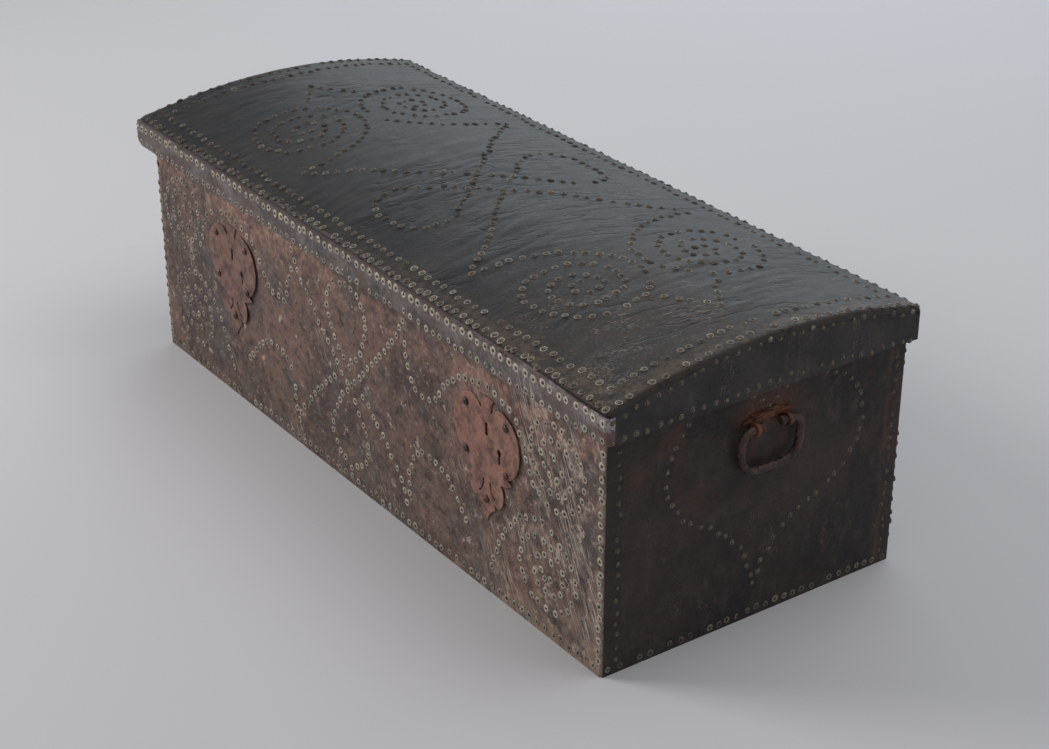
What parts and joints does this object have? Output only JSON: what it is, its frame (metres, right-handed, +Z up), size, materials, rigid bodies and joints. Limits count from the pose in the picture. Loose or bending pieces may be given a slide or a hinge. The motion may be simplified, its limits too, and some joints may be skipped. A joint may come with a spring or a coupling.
{
  "type": "leather covered dowry chest",
  "caption": "Long low wooden coffer under nailed hide, with a shallow domed hinged lid, two pierced lock plates and a swinging bail handle on each end.",
  "frame": {"origin": "centre of the footprint, on the floor", "axes": "+X along the length to the right, +Y to the hinged back, +Z up"},
  "size_m": [1.1864, 0.504, 0.41],
  "materials": {
    "wood": "dry unfinished softwood, darkened with age",
    "hide_black": "old near-black hide with fine creases and a worn sheen",
    "hide_brown": "scuffed brown hide, dusty towards the foot",
    "hide_grey": "grey worn hide with a pale rubbed edge",
    "iron_red": "sheet iron under a matt red-brown rust",
    "iron_dark": "forged iron, dark with rust",
    "brass": "dull brass nails with worn pale rims"
  },
  "bodies": {
    "chest": {"back_board": "wood", "back_hide": "hide_black", "bottom_board_back": "wood", "bottom_board_front": "wood", "bottom_board_middle": "wood", "front_board": "wood", "front_hide": "hide_brown", "left_end_board": "wood", "left_end_hide": "hide_black", "left_handle_cotters": "iron_dark", "left_hinge_pin": "iron_dark", "left_hinge_strap": "iron_dark", "left_lock_case": "iron_dark", "left_lock_case_nails": "iron_dark", "left_lock_key_pin": "iron_dark", "left_lock_nails": "iron_dark", "left_lock_plate": "iron_red", "left_lock_spring": "iron_dark", "left_strap_nails": "iron_dark", "right_end_board": "wood", "right_end_hide": "hide_black", "right_handle_cotters": "iron_dark", "right_hinge_pin": "iron_dark", "right_hinge_strap": "iron_dark", "right_lock_case": "iron_dark", "right_lock_case_nails": "iron_dark", "right_lock_key_pin": "iron_dark", "right_lock_nails": "iron_dark", "right_lock_plate": "iron_red", "right_lock_spring": "iron_dark", "right_strap_nails": "iron_dark"},
    "lid": {"left_hinge_leaf": "iron_dark", "left_leaf_nails": "iron_dark", "lid_back_hide": "hide_black", "lid_back_rail": "wood", "lid_front_hide": "hide_grey", "lid_front_lip": "wood", "lid_front_rail": "wood", "lid_left_end_board": "wood", "lid_left_hide": "hide_black", "lid_left_lip": "wood", "lid_right_end_board": "wood", "lid_right_hide": "hide_black", "lid_right_lip": "wood", "lid_stave_1": "wood", "lid_stave_2": "wood", "lid_stave_3": "wood", "lid_stave_4": "wood", "lid_stave_5": "wood", "lid_stave_6": "wood", "lid_top_hide": "hide_black", "right_hinge_leaf": "iron_dark", "right_leaf_nails": "iron_dark"},
    "left_bail": {"left_handle_bail": "iron_dark"},
    "right_bail": {"right_handle_bail": "iron_dark"},
    "left_bolt": {"left_lock_bolt": "iron_dark"},
    "right_bolt": {"right_lock_bolt": "iron_dark"}
  },
  "joints": [
    {"name": "lid_hinge", "type": "hinge", "parent": "chest", "child": "lid", "pos_m": [0, 0.24615, 0.338], "axis": [-1, 0, 0], "range_deg": [0, 100]},
    {"name": "left_bail_swing", "type": "hinge", "parent": "chest", "child": "left_bail", "pos_m": [-0.58425, 0.0075, 0.279], "axis": [0, 1, 0], "range_deg": [-3, 160]},
    {"name": "right_bail_swing", "type": "hinge", "parent": "chest", "child": "right_bail", "pos_m": [0.58425, 0.0075, 0.279], "axis": [0, -1, 0], "range_deg": [-3, 160]},
    {"name": "left_bolt_slide", "type": "slide", "parent": "chest", "child": "left_bolt", "axis": [-1, 0, 0], "range_m": [0, 0.014]},
    {"name": "right_bolt_slide", "type": "slide", "parent": "chest", "child": "right_bolt", "axis": [-1, 0, 0], "range_m": [0, 0.014]}
  ]
}
